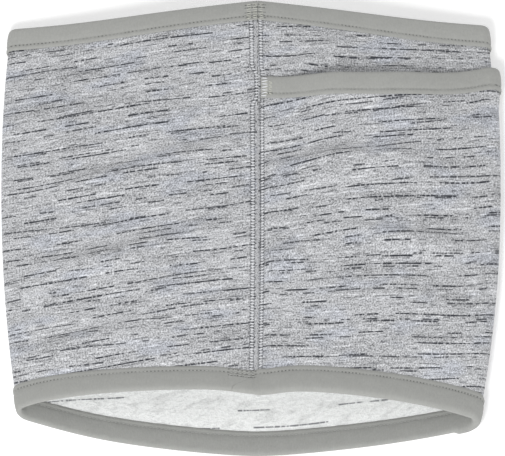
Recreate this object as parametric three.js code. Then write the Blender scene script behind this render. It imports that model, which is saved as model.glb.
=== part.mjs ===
// Neck gaiter with a side pocket, lying on its back: a sewn knit tube with bound edges.
// Millimetres, +Z up. The tube runs along Y with its top edge at +Y; the front faces up.
import * as THREE from 'three';

// Overall sizes of the sewn tube.
const FLAT_WIDTH = 267;          // side fold to side fold, at the widest
const SIDE_LENGTH = 229.5;       // top edge to bottom edge along the left side fold
const CROWN_TOP = 32;            // height of the front near the top edge
const CROWN_MOUTH = 53;          // height of the front near the bottom edge
const TOP_DRAW_IN = 4;           // how far the bound top edge pulls each side in
const LEFT_MOUTH_DRAW_IN = 10.5; // the same at the bottom edge, on the left
const RIGHT_MOUTH_DRAW_IN = 12.5; // and on the right
const TURN_IN = 4;               // how far the front dips at the top edge
const SEAM_SHIFT = 4.8;          // how far the front seam lies off the middle, towards the pocket

// Side folds.
const LEFT_FOLD_HEIGHT = 8.5;    // height of the left fold at the top edge
const LEFT_MOUTH_RISE = 10;      // how much higher it is at the bottom edge
const RIGHT_FOLD_HEIGHT = 12;    // height of the right fold, held up by the pocket under it
const RIGHT_MOUTH_RISE = 0.5;    // how much higher it is at the bottom edge
const FOLD_RADIUS = 4.2;         // bend of the cloth at the top end of a fold
const MOUTH_RADIUS_GAIN = 2.8;   // how much wider the bend is at the bottom end
const BACK_FLAT = 52;            // half the width of the back that lies flat
const REST_GAP = 0.2;            // stitches at a bound edge to the surface underneath
const REST_RAMP = 22;            // length of cloth past the tape over which the cloth lies down

// Shape of the two ends along Y, measured from the left fold's ends.
const TOP_PEAK = 9.2;            // the front seam reaches past the top corners
const TOP_SAG = 2.5;             // the front's top edge hangs below that line before the corners
const RIGHT_TOP_RISE = 0.5;      // the right top corner sits past the left one
const RIGHT_MOUTH_DROP = 3;      // the right bottom corner sits past the left one
const TOP_BACK_DROP = 4;         // the back's top edge lies behind the front's
const FRONT_HEM_DROP = 3.4;      // the front hem's middle reaches past the corners
const SEAM_DIP = 2.6;            // the front hem dips at the seam
const BACK_HEM_BULGE = 19.2;     // the back hem's middle reaches past the corners

// Cloth, tape and thread.
const KNIT = 1.4;                // brushed knit
const TAPE = 0.8;                // binding tape
const THREAD = 0.6;              // a row of stitches
const GAP = 0.3;                 // clearance between layers
const TAPE_WIDTH = 12;           // tape on each side of an edge
const STITCH_INSET = 9.3;        // edge to the line that sews the tape
const BUTT_GAP = 0.4;            // between edges that butt

// Front seam.
const SEAM_ROW = 2.4;            // middle of the seam to each needle row
const COVER_REACH = 0.9;         // half the width of the outer crossing thread
const LOOPER_REACH = 2.2;        // half the width of the inner crossing thread
const SEAM_PITCH = 6;            // one turn of a crossing thread

// Pocket.
const POCKET_EDGE = 1.5;         // middle of the seam to the pocket panel's front edge
const POCKET_REACH = 16;         // side fold to the pocket's rear edge, on the back
const POCKET_DEPTH_FRONT = 49.5; // top edge to pocket mouth at the seam
const POCKET_DEPTH_SIDE = 26;    // the same at the side fold
const POCKET_GAPE = 8;           // how far the mouth stands off the body
const POCKET_SIDE_GAPE = 0.6;    // the same at the side fold
const REAR_STITCH_INSET = 3;     // pocket's rear edge to its row of stitches
const BOTTOM_JOIN = 8;           // middle of the seam to the join of the bottom tape

// Bartacks.
const TOP_TACK = { width: 8, height: 10, passes: 7 };
const POCKET_TACK = { width: 5, height: 8, passes: 5 };
const JOIN_TACK = { width: 14, height: 5, passes: 3 };

const TURN_LENGTH = 2 * TAPE_WIDTH;      // length of cloth at the top edge over which the front dips
const REST_START = TAPE_WIDTH + 2;       // length of cloth at each edge that the tape lifts
const REST_END = REST_START + REST_RAMP;
const HALF_GIRTH = FLAT_WIDTH * 0.995;   // length of cloth from the seam round to the back's middle
const MOUTH_Y = -SIDE_LENGTH / 2;
const TOP_Y = SIDE_LENGTH / 2;
const POCKET_LAYER = KNIT + GAP;

const KNIT_COLOUR = 0xb1b2b5;
const TAPE_COLOUR = 0xa3a49e;
const THREAD_COLOUR = 0xb9babd;

const mix = (a, b, t) => a + (b - a) * t;
const ease = (a, b, t) => THREE.MathUtils.smoothstep(t, a, b);
const radians = THREE.MathUtils.degToRad;

// A place on the cloth: u runs round from the front seam (0) over the right fold (about 0.5) to the
// middle of the back (1) and on to 2; v runs from the top edge (0) to the bottom edge (1).
const onSide = (u) => (u > 1 ? u - 2 : u);
const aroundMm = (mm) => mm / HALF_GIRTH;
const foldShare = (u) => Math.abs(onSide(u)) * 2;

function topEdgeY(u) {
  const share = foldShare(u);
  const corner = TOP_Y + (onSide(u) > 0 ? RIGHT_TOP_RISE : 0) * Math.min(share, 2 - share);
  if (share > 1) {
    return corner - TOP_BACK_DROP * Math.sin((share - 1) * Math.PI / 2);
  }
  return corner + TOP_PEAK * (1 - share) - TOP_SAG * Math.sin(Math.PI * share ** 1.8);
}

function bottomEdgeY(u) {
  const share = foldShare(u);
  const corner = MOUTH_Y - (onSide(u) > 0 ? RIGHT_MOUTH_DROP : 0) * Math.min(share, 2 - share) ** 2;
  if (share > 1) {
    return corner - BACK_HEM_BULGE * (1 - (2 - share) ** 1.5);
  }
  return corner - FRONT_HEM_DROP * (1 - share) - SEAM_DIP * Math.exp(-((share / 0.12) ** 2));
}

const lengthAt = (u) => topEdgeY(u) - bottomEdgeY(u);
const edgeDistance = (v) => Math.min(v, 1 - v) * SIDE_LENGTH;

function halfWidth(v, right) {
  const top = Math.max(0, 1 - v / 0.35);
  const mouth = Math.max(0, (v - 0.35) / 0.65);
  const mouthDrawIn = right ? RIGHT_MOUTH_DRAW_IN : LEFT_MOUTH_DRAW_IN;
  return FLAT_WIDTH / 2 - TOP_DRAW_IN * top ** 2 - mouthDrawIn * mouth ** 2.2;
}

function crownHeight(v) {
  const turn = Math.max(0, 1 - v * SIDE_LENGTH / TURN_LENGTH);
  return mix(CROWN_TOP, CROWN_MOUTH, v ** 2) - TURN_IN * turn ** 2;
}

function backHeight(v) {
  const lying = ease(REST_START, REST_END, edgeDistance(v));
  return KNIT / 2 + (GAP + TAPE + GAP + THREAD + REST_GAP) * (1 - lying);
}

// Half of the tube's cross-section, seam to fold to back, with x outwards and y as height.
const sections = new Map();
function halfSection(side, station) {
  const v = THREE.MathUtils.clamp(station, 0, 1);
  const key = `${side} ${v}`;
  if (sections.has(key)) {
    return sections.get(key);
  }
  const right = side > 0;
  const radius = FOLD_RADIUS + MOUTH_RADIUS_GAIN * v;
  const centreX = halfWidth(v, right) - (right ? SEAM_SHIFT : -SEAM_SHIFT) - radius;
  const rise = (right ? RIGHT_MOUTH_RISE : LEFT_MOUTH_RISE) * v ** 2;
  const centreZ = (right ? RIGHT_FOLD_HEIGHT : LEFT_FOLD_HEIGHT) + rise;
  const frontSlope = radians(mix(13, right ? 36 : 44, v ** 2));
  const backSlope = Math.atan2(2 * (centreZ - radius - backHeight(v)), centreX - BACK_FLAT);
  const seamSlope = radians(mix(5, 0, v));
  const frontX = centreX + radius * Math.sin(frontSlope);
  const frontZ = centreZ + radius * Math.cos(frontSlope);
  const backX = centreX + radius * Math.sin(backSlope);
  const backZ = centreZ - radius * Math.cos(backSlope);
  const seamPull = centreX * mix(0.35, right ? 0.36 : 0.5, v);
  const foldPull = centreX * mix(0.35, right ? 0.3 : 0.22, v);
  const backPull = (centreX - BACK_FLAT) * 0.45;
  const crown = crownHeight(v);
  const path = new THREE.Path();
  path.moveTo(0, crown);
  path.bezierCurveTo(
    seamPull * Math.cos(seamSlope), crown - seamPull * Math.sin(seamSlope),
    frontX - foldPull * Math.cos(frontSlope), frontZ + foldPull * Math.sin(frontSlope),
    frontX, frontZ,
  );
  path.absarc(centreX, centreZ, radius, Math.PI / 2 - frontSlope, backSlope - Math.PI / 2, true);
  path.bezierCurveTo(
    backX - backPull * Math.cos(backSlope), backZ - backPull * Math.sin(backSlope),
    BACK_FLAT + backPull, backHeight(v),
    BACK_FLAT, backHeight(v),
  );
  path.lineTo(0, backHeight(v));
  sections.set(key, path);
  return path;
}

function middlePoint(u, v) {
  const around = onSide(u);
  const side = around < 0 ? -1 : 1;
  const flat = halfSection(side, v).getPoint(Math.abs(around));
  return new THREE.Vector3(side * flat.x, mix(topEdgeY(u), bottomEdgeY(u), v), flat.y);
}

// The cloth's middle surface, moved outwards by a distance.
function clothPoint(u, v, outwards) {
  const step = 0.002;
  const across = middlePoint(u + step, v).sub(middlePoint(u - step, v));
  const along = middlePoint(u, v + step).sub(middlePoint(u, v - step));
  const outward = along.cross(across).normalize();
  return middlePoint(u, v).addScaledVector(outward, outwards);
}

// A block whose columns, rows and two faces are placed one corner at a time.
function bentBlock(columns, rows, place) {
  const block = new THREE.BoxGeometry(1, 1, 1, columns.length - 1, rows.length - 1, 1);
  const corners = block.attributes.position;
  for (let i = 0; i < corners.count; i++) {
    const column = columns[Math.round((corners.getX(i) + 0.5) * (columns.length - 1))];
    const row = rows[Math.round((corners.getY(i) + 0.5) * (rows.length - 1))];
    const corner = place(column, row, corners.getZ(i));
    corners.setXYZ(i, corner.x, corner.y, corner.z);
  }
  block.computeVertexNormals();
  return block;
}

const evenly = (from, to, count) => Array.from({ length: count + 1 }, (_, i) => mix(from, to, i / count));
const inOrder = (values) => [...new Set(values.map((value) => Number(value.toFixed(6))))].sort((a, b) => a - b);

// Stations round the tube: close together at the side folds, and wherever a layer starts or ends.
const FRONT_STATIONS = evenly(0, 0.465, 10);
const FOLD_STATIONS = evenly(0.465, 0.545, 8);
const BACK_STATIONS = evenly(0.545, 1, 8);
const RIGHT_STATIONS = [...FRONT_STATIONS, ...FOLD_STATIONS, ...BACK_STATIONS];
const ROUND_STATIONS = [...RIGHT_STATIONS, ...RIGHT_STATIONS.map((u) => 2 - u)];

const POCKET_START = aroundMm(POCKET_EDGE);
const POCKET_END = 0.5 + aroundMm(POCKET_REACH);
const POCKET_OPEN_FROM = 0.09;   // where the mouth stands open
const POCKET_OPEN_TO = 0.39;
const RAMP = aroundMm(4);

const stationsFrom = (from, to, extra = []) => inOrder([
  from, to, ...[...ROUND_STATIONS, ...extra].filter((u) => u > from + 0.002 && u < to - 0.002),
]);

// Stations along the tube, bottom edge first.
const REST_ROWS = [
  0, REST_START / 2, REST_START, (REST_START + REST_END) / 2, REST_END,
].map((mm) => mm / SIDE_LENGTH);
const BODY_ROWS = inOrder([
  ...REST_ROWS, ...REST_ROWS.map((v) => 1 - v), ...evenly(0.24, 0.76, 5),
]).reverse();

// Pocket mouth, and how far the pocket panel stands off the body.
function mouthStation(u) {
  const share = Math.min(1, u * 2);
  return mix(POCKET_DEPTH_FRONT, POCKET_DEPTH_SIDE, share ** 1.8) / lengthAt(u);
}

function pocketGape(u, v) {
  const down = THREE.MathUtils.clamp((v - mouthStation(u)) / (0.93 - mouthStation(u)), 0, 1);
  const front = ease(0.03, 0.17, u) * (1 - ease(0.27, 0.46, u));
  const side = ease(0.03, 0.2, u) * (1 - ease(0.54, POCKET_END - 0.02, u));
  const belowTape = (v - mouthStation(u)) * lengthAt(u) - TAPE_WIDTH;
  const tapeLift = (TAPE + GAP) * (1 - ease(1, 12, belowTape));
  return tapeLift + POCKET_GAPE * front * (1 - down) ** 1.25 + POCKET_SIDE_GAPE * side * (1 - down ** 4);
}

const pocketMiddle = (u, v) => KNIT + GAP + pocketGape(u, v);

// The bottom tape steps out where the pocket layer lies inside it.
function pocketLayerAt(u) {
  const around = onSide(u);
  const front = ease(POCKET_START - RAMP, POCKET_START - aroundMm(0.4), around);
  return POCKET_LAYER * front * (1 - ease(POCKET_END + aroundMm(0.4), POCKET_END + RAMP, around));
}

const LAYER_STATIONS = [
  2 + POCKET_START - RAMP, POCKET_START - aroundMm(0.4), POCKET_START,
  POCKET_END, POCKET_END + aroundMm(0.4), POCKET_END + RAMP / 2, POCKET_END + RAMP,
];

// Tape folded over an edge, from the end of its outer leg, round the edge, to the end of its inner leg.
const TAPE_FOLD = evenly(0, 1, 4).map((turn) => ({ leg: 'fold', turn }));
const TAPE_ROWS = [{ leg: 'outer', reach: 1 }, ...TAPE_FOLD, { leg: 'inner', reach: 1 }];
const HALVED_TAPE_ROWS = [
  { leg: 'outer', reach: 1 }, { leg: 'outer', reach: 0.5 }, ...TAPE_FOLD,
  { leg: 'inner', reach: 0.5 }, { leg: 'inner', reach: 1 },
];

// Gives a tape row's distance from the edge and its place through the cloth.
function tapeRow(row, face, outerMiddle, innerMiddle) {
  const centre = (outerMiddle - innerMiddle) / 2;
  const radius = (outerMiddle + innerMiddle) / 2 + face * TAPE;
  if (row.leg === 'fold') {
    const angle = row.turn * Math.PI;
    return { inwards: -radius * Math.sin(angle), outwards: centre + radius * Math.cos(angle) };
  }
  const side = row.leg === 'outer' ? 1 : -1;
  return { inwards: TAPE_WIDTH * row.reach, outwards: centre + radius * side };
}

const TAPE_MIDDLE = KNIT / 2 + GAP + TAPE / 2;

function edgeTape({ columns, rows, edge, direction, extraAt = () => 0, middleAt = () => 0 }) {
  return bentBlock(columns, direction > 0 ? rows : [...rows].reverse(), (u, row, face) => {
    const { inwards, outwards } = tapeRow(row, face, TAPE_MIDDLE + extraAt(u), TAPE_MIDDLE);
    const v = edge(u) + direction * inwards / lengthAt(u);
    return clothPoint(u, v, outwards + middleAt(u, v));
  });
}

// A row of stitches round the tube or down it, as one square-sided run of thread.
function rowRound(columns, stationAt, outwardsAt) {
  return bentBlock(columns, [0.5, -0.5], (u, across, face) => (
    clothPoint(u, stationAt(u) + across * THREAD / lengthAt(u), outwardsAt(u) + face * THREAD)
  ));
}

function rowDown(rows, aroundAt, outwardsAt) {
  return bentBlock([-0.5, 0.5], rows, (across, v, face) => {
    const u = aroundAt(v) + across * aroundMm(THREAD);
    return clothPoint(u, v, outwardsAt(u, v) + face * THREAD);
  });
}

// A thread that swings from side to side while it advances.
function crossingThread(places, stepsEach) {
  const path = new THREE.CatmullRomCurve3(places.map(([u, v, out]) => clothPoint(u, v, out)), false, 'centripetal');
  const half = THREAD / 2;
  const section = new THREE.Shape([
    new THREE.Vector2(half, 0), new THREE.Vector2(0, half),
    new THREE.Vector2(-half, 0), new THREE.Vector2(0, -half),
  ]);
  const steps = (places.length - 1) * stepsEach;
  return new THREE.ExtrudeGeometry(section, { steps, extrudePath: path, bevelEnabled: false });
}

const OUTSIDE = KNIT / 2 + GAP + THREAD / 2;          // a thread lying on the body's outer face
const ON_TAPE = OUTSIDE + GAP + TAPE;                 // a thread lying on tape
const TAPE_END = TAPE_WIDTH + GAP + THREAD;           // clear of a tape's leg, measured from the edge
const SEAM_TOP = TAPE_END / SIDE_LENGTH;
const SEAM_BOTTOM = 1 - TAPE_END / SIDE_LENGTH;

function seamSwings(reach, outwards) {
  const count = 2 * Math.round((SEAM_BOTTOM - SEAM_TOP) * SIDE_LENGTH / SEAM_PITCH);
  return evenly(SEAM_TOP, SEAM_BOTTOM, count).map((v, i) => [
    aroundMm(i % 2 ? reach : -reach), v, outwards,
  ]);
}

// The right needle row climbs over the pocket tape's end and runs down the pocket panel's edge.
function rightRowHeight(u, v) {
  const depth = (v - mouthStation(u)) * lengthAt(u);
  const onTape = ease(-9, -3, depth);
  const offTape = ease(TAPE_WIDTH + 1, TAPE_WIDTH + 5, depth);
  const reach = Math.max(v, mouthStation(u));
  return OUTSIDE + onTape * (pocketMiddle(u, reach) + (TAPE + GAP) * (1 - offTape));
}

// Tack centred on a place: one thread that runs across and back, a pass lower each time.
function tack(size, u, v, outwardsAt) {
  const passes = evenly(-size.height / 2, size.height / 2, size.passes - 1);
  return crossingThread(passes.flatMap((down, i) => [-1, 0, 1].map((end) => {
    const around = u + aroundMm((i % 2 ? -end : end) * size.width / 2);
    return [around, v + down / SIDE_LENGTH, outwardsAt(around)];
  })), 2);
}

const gaiter = new THREE.Group();

function addPiece(name, geometry, colour, roughness) {
  const material = new THREE.MeshStandardMaterial({ color: colour, roughness, metalness: 0 });
  const piece = new THREE.Mesh(geometry, material);
  piece.name = name;
  gaiter.add(piece);
}

const addCloth = (name, geometry) => addPiece(name, geometry, KNIT_COLOUR, 0.92);
const addTape = (name, geometry) => addPiece(name, geometry, TAPE_COLOUR, 0.8);
const addThread = (name, geometry) => addPiece(name, geometry, THREAD_COLOUR, 0.6);

// Body: one panel that starts and ends at the front seam.
const buttHalf = aroundMm(BUTT_GAP / 2);
const bodyColumns = stationsFrom(buttHalf, 2 - buttHalf);
addCloth('body_panel', bentBlock(bodyColumns, BODY_ROWS, (u, v, face) => clothPoint(u, v, face * KNIT)));

// Pocket: a second layer whose mouth rises towards the side.
const pocketColumns = stationsFrom(POCKET_START, POCKET_END);
const lowestLift = TAPE_WIDTH + 12;
const pocketRows = [
  ...REST_ROWS.map((up) => () => 1 - up),
  ...evenly(1, 0, 7).slice(1, -1).map((share) => (u) => (
    mix(mouthStation(u) + lowestLift / lengthAt(u), 1 - REST_ROWS.at(-1), share)
  )),
  ...[lowestLift, TAPE_WIDTH + 6, TAPE_WIDTH + 1, TAPE_WIDTH / 2, 0].map((down) => (u) => (
    mouthStation(u) + down / lengthAt(u)
  )),
];
addCloth('pocket_panel', bentBlock(pocketColumns, pocketRows, (u, stationAt, face) => {
  const v = stationAt(u);
  return clothPoint(u, v, pocketMiddle(u, v) + face * KNIT);
}));

// Tapes.
const topStations = stationsFrom(buttHalf, 2 - buttHalf);
addTape('top_binding', edgeTape({
  columns: topStations, rows: TAPE_ROWS, edge: () => 0, direction: 1,
}));

const joinAt = -aroundMm(BOTTOM_JOIN);
const bottomStations = inOrder(stationsFrom(
  joinAt + buttHalf, 2 + joinAt - buttHalf, [0, ...LAYER_STATIONS, LAYER_STATIONS[0] - 2],
));
addTape('bottom_binding', edgeTape({
  columns: bottomStations, rows: TAPE_ROWS, edge: () => 1, direction: -1, extraAt: pocketLayerAt,
}));
addTape('pocket_binding', edgeTape({
  columns: pocketColumns, rows: HALVED_TAPE_ROWS, edge: mouthStation, direction: 1, middleAt: pocketMiddle,
}));

// Front seam.
const seamRows = evenly(SEAM_BOTTOM, SEAM_TOP, 40);
addThread('seam_needle_thread_left', rowDown(seamRows, () => -aroundMm(SEAM_ROW), () => OUTSIDE));
addThread('seam_needle_thread_right', rowDown(seamRows, () => aroundMm(SEAM_ROW), rightRowHeight));
addThread('seam_cover_thread', crossingThread(seamSwings(COVER_REACH, OUTSIDE), 2));
addThread('seam_looper_thread', crossingThread(seamSwings(LOOPER_REACH, -OUTSIDE), 2));

// Stitches of the tapes.
const topLine = (u) => STITCH_INSET / lengthAt(u);
const bottomLine = (u) => 1 - STITCH_INSET / lengthAt(u);
const pocketLine = (u) => mouthStation(u) + STITCH_INSET / lengthAt(u);
const besideTack = aroundMm(TOP_TACK.width / 2 + THREAD / 2 + GAP);
const topLineColumns = stationsFrom(besideTack, 2 - besideTack);
addThread('top_stitch_outer', rowRound(topLineColumns, topLine, () => ON_TAPE));
addThread('top_stitch_inner', rowRound(topStations, topLine, () => -ON_TAPE));
const besideJoin = aroundMm(JOIN_TACK.width / 2 + THREAD / 2 + GAP);
const bottomLineColumns = stationsFrom(joinAt + besideJoin, 2 + joinAt - besideJoin, LAYER_STATIONS);
addThread('bottom_stitch_outer', rowRound(bottomLineColumns, bottomLine, (u) => ON_TAPE + pocketLayerAt(u)));
addThread('bottom_stitch_inner', rowRound(bottomStations, bottomLine, () => -ON_TAPE));
const onPocketTape = (u) => pocketMiddle(u, pocketLine(u)) + ON_TAPE;
const tackHalf = aroundMm(POCKET_TACK.width / 2 + THREAD / 2 + GAP);
const frontTackAt = aroundMm(SEAM_ROW + THREAD / 2) + tackHalf;
const rearTackAt = POCKET_END - tackHalf;
const pocketLineColumns = stationsFrom(frontTackAt + tackHalf, rearTackAt - tackHalf);
addThread('pocket_stitch_outer', rowRound(pocketLineColumns, pocketLine, onPocketTape));
const openColumns = stationsFrom(POCKET_OPEN_FROM, POCKET_OPEN_TO);
addThread('pocket_stitch_inner', rowRound(openColumns, pocketLine, (u) => (
  pocketMiddle(u, pocketLine(u)) - ON_TAPE
)));

// Sewn rear edge of the pocket.
const rearStart = (POCKET_DEPTH_SIDE + TAPE_END) / SIDE_LENGTH;
const rearRows = evenly(SEAM_BOTTOM, rearStart, 30);
const rearAt = () => POCKET_END - aroundMm(REAR_STITCH_INSET);
addThread('pocket_rear_stitch_outer', rowDown(rearRows, rearAt, (u, v) => pocketMiddle(u, v) + OUTSIDE));
addThread('pocket_rear_stitch_inner', rowDown(rearRows, rearAt, () => -OUTSIDE));

// Tacks.
addThread('top_bartack', tack(TOP_TACK, 0, TAPE_WIDTH / 2 / SIDE_LENGTH, () => ON_TAPE));
const tackDown = TAPE_WIDTH / 2 / SIDE_LENGTH;
addThread('pocket_front_bartack', tack(POCKET_TACK, frontTackAt, mouthStation(frontTackAt) + tackDown, onPocketTape));
addThread('pocket_rear_bartack', tack(POCKET_TACK, rearTackAt, mouthStation(rearTackAt) + tackDown, onPocketTape));
const onBottomTape = (u) => ON_TAPE + pocketLayerAt(u);
addThread('bottom_join_stitches', tack(JOIN_TACK, joinAt, bottomLine(joinAt), onBottomTape));

// Set the origin under the middle of the part.
const box = new THREE.Box3().setFromObject(gaiter, true);
const middle = box.getCenter(new THREE.Vector3());
gaiter.position.set(-middle.x, -middle.y, -box.min.z);

export default gaiter;
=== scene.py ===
import math

import bpy
import numpy as np
from mathutils import Matrix, Vector


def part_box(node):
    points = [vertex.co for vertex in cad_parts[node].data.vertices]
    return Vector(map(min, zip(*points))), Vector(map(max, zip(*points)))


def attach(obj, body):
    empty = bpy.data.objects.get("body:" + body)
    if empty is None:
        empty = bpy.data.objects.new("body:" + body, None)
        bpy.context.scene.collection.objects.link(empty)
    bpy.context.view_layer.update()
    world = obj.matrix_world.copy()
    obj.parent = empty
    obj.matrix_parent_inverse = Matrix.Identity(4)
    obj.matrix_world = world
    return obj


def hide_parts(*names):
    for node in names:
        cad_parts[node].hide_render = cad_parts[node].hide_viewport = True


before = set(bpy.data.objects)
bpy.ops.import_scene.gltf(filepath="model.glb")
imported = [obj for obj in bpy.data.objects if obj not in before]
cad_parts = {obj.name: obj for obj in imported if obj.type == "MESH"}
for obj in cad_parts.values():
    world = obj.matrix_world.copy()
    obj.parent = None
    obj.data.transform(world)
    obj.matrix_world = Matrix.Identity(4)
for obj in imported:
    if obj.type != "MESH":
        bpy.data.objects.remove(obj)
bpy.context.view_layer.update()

MM = 0.001


# ---- Camera, floor and light ---------------------------------------------------------------------
VIEW_ELEVATION = math.radians(64)
VIEW_DISTANCE = 5.5
VIEW_SPAN = 0.2735               # width of the view at the aim
AIM = Vector((0.0, 0.0068, 0.0))


def add_camera():
    camera = bpy.data.cameras.new("view")
    camera.sensor_width = 36
    camera.lens = 36 * VIEW_DISTANCE / VIEW_SPAN
    camera.clip_end = 20
    holder = bpy.data.objects.new("view", camera)
    bpy.context.scene.collection.objects.link(holder)
    back = Vector((0, -math.cos(VIEW_ELEVATION), math.sin(VIEW_ELEVATION)))
    holder.location = AIM + back * VIEW_DISTANCE
    holder.rotation_euler = back.to_track_quat("Z", "Y").to_euler()
    bpy.context.scene.camera = holder


def add_area_light(name, place, size, power):
    lamp = bpy.data.lights.new(name, "AREA")
    lamp.size = size
    lamp.energy = power
    holder = bpy.data.objects.new(name, lamp)
    bpy.context.scene.collection.objects.link(holder)
    holder.location = place
    holder.rotation_euler = Vector(place).to_track_quat("Z", "Y").to_euler()


def add_studio():
    bpy.ops.object.select_all(action="DESELECT")
    bpy.ops.mesh.primitive_plane_add(size=6, location=(0, 0, -0.0002))
    floor = bpy.context.object
    floor.name = "floor"
    paper = bpy.data.materials.new("studio_paper")
    paper.use_nodes = True
    shader = paper.node_tree.nodes["Principled BSDF"]
    shader.inputs["Base Color"].default_value = (0.93, 0.93, 0.93, 1)
    shader.inputs["Roughness"].default_value = 0.9
    shader.inputs["Specular IOR Level"].default_value = 0.1
    shader.inputs["Emission Color"].default_value = (1, 1, 1, 1)
    shader.inputs["Emission Strength"].default_value = 0.3
    floor.data.materials.append(paper)
    world = bpy.data.worlds.new("studio")
    world.use_nodes = True
    world.node_tree.nodes["Background"].inputs["Color"].default_value = (1, 1, 1, 1)
    world.node_tree.nodes["Background"].inputs["Strength"].default_value = 0.62
    bpy.context.scene.world = world
    add_area_light("key", place=(-0.2, -1.0, 1.3), size=0.3, power=15.0)
    add_area_light("low", place=(0.05, -1.5, 0.3), size=0.5, power=0.9)
    bpy.context.scene.view_settings.view_transform = "Standard"


add_camera()
add_studio()


# ---- Shape of the cloth, in millimetres ------------------------------------------------------------
body_low, body_high = (Vector(corner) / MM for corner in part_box("body_panel"))
seam_low, seam_high = (Vector(corner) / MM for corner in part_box("seam_cover_thread"))

KNIT = 1.4
TAPE = 0.8
GAP = 0.3
TAPE_WIDTH = 12
STITCH_INSET = 9.3
FLAT_WIDTH = body_high.x - body_low.x - KNIT
SIDE_LENGTH = 229.5
CROWN_TOP, CROWN_MOUTH = 32, 53
TOP_DRAW_IN = 4
LEFT_MOUTH_DRAW_IN, RIGHT_MOUTH_DRAW_IN = 10.5, 12.5
TURN_IN, TURN_LENGTH = 4, 2 * TAPE_WIDTH
LEFT_FOLD_HEIGHT, LEFT_MOUTH_RISE = 8.5, 10
RIGHT_FOLD_HEIGHT, RIGHT_MOUTH_RISE = 12, 0.5
FOLD_RADIUS, MOUTH_RADIUS_GAIN = 4.2, 2.8
BACK_FLAT = 52
SEAM_SLOPE = 5                   # in degrees, as are the next three
FRONT_SLOPE, LEFT_MOUTH_SLOPE, RIGHT_MOUTH_SLOPE = 13, 44, 36
REST_LIFT = 2.2
REST_START, REST_RAMP = 14, 22
TOP_PEAK, TOP_SAG, RIGHT_TOP_RISE, RIGHT_MOUTH_DROP = 9.2, 2.5, 0.5, 3
TOP_BACK_DROP, FRONT_HEM_DROP, SEAM_DIP, BACK_HEM_BULGE = 4, 3.4, 2.6, 19.2
POCKET_EDGE, POCKET_REACH = 1.5, 16
POCKET_DEPTH_FRONT, POCKET_DEPTH_SIDE = 49.5, 26
POCKET_GAPE, POCKET_SIDE_GAPE = 8, 0.6
HALF_GIRTH = FLAT_WIDTH * 0.995
SEAM_X = (seam_low.x + seam_high.x) / 2
SEAM_SHIFT = SEAM_X - (body_low.x + body_high.x) / 2
SHIFT_Y = body_high.y - SIDE_LENGTH / 2 - TOP_PEAK
POCKET_START = POCKET_EDGE / HALF_GIRTH
POCKET_END = 0.5 + POCKET_REACH / HALF_GIRTH


def mix(a, b, share):
    return a + (b - a) * share


def ease(low, high, value):
    share = np.clip((value - low) / (high - low), 0, 1)
    return share * share * (3 - 2 * share)


def on_side(around):
    """A share round from -1 to 1. around runs from the seam (0) over the right fold to 1 and on to 2."""
    return np.where(around > 1, around - 2, around)


def top_edge(around):
    side = on_side(around)
    share = np.abs(side) * 2
    corner = SIDE_LENGTH / 2 + np.where(side > 0, RIGHT_TOP_RISE, 0) * np.minimum(share, 2 - share)
    back = corner - TOP_BACK_DROP * np.sin((share - 1) * math.pi / 2)
    front = corner + TOP_PEAK * (1 - share) - TOP_SAG * np.sin(math.pi * np.minimum(share, 1) ** 1.8)
    return np.where(share > 1, back, front)


def bottom_edge(around):
    side = on_side(around)
    share = np.abs(side) * 2
    drop = np.where(side > 0, RIGHT_MOUTH_DROP, 0) * np.minimum(share, 2 - share) ** 2
    corner = -SIDE_LENGTH / 2 - drop
    back = corner - BACK_HEM_BULGE * (1 - np.abs(2 - share) ** 1.5)
    front = corner - FRONT_HEM_DROP * (1 - share) - SEAM_DIP * np.exp(-((share / 0.12) ** 2))
    return np.where(share > 1, back, front)


def length_at(around):
    return top_edge(around) - bottom_edge(around)


def half_width(down, right):
    top = max(0, 1 - down / 0.35)
    mouth = max(0, (down - 0.35) / 0.65)
    mouth_draw_in = RIGHT_MOUTH_DRAW_IN if right else LEFT_MOUTH_DRAW_IN
    return FLAT_WIDTH / 2 - TOP_DRAW_IN * top ** 2 - mouth_draw_in * mouth ** 2.2


def crown_height(down):
    turn = max(0, 1 - down * SIDE_LENGTH / TURN_LENGTH)
    return mix(CROWN_TOP, CROWN_MOUTH, down ** 2) - TURN_IN * turn ** 2


def back_height(down):
    lying = ease(REST_START, REST_START + REST_RAMP, min(down, 1 - down) * SIDE_LENGTH)
    return KNIT / 2 + REST_LIFT * (1 - lying)


def bezier(corners, count):
    t = np.linspace(0, 1, count)[:, None]
    a, b, c, d = (np.array(corner) for corner in corners)
    return a * (1 - t) ** 3 + 3 * b * t * (1 - t) ** 2 + 3 * c * t * t * (1 - t) + d * t ** 3


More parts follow.
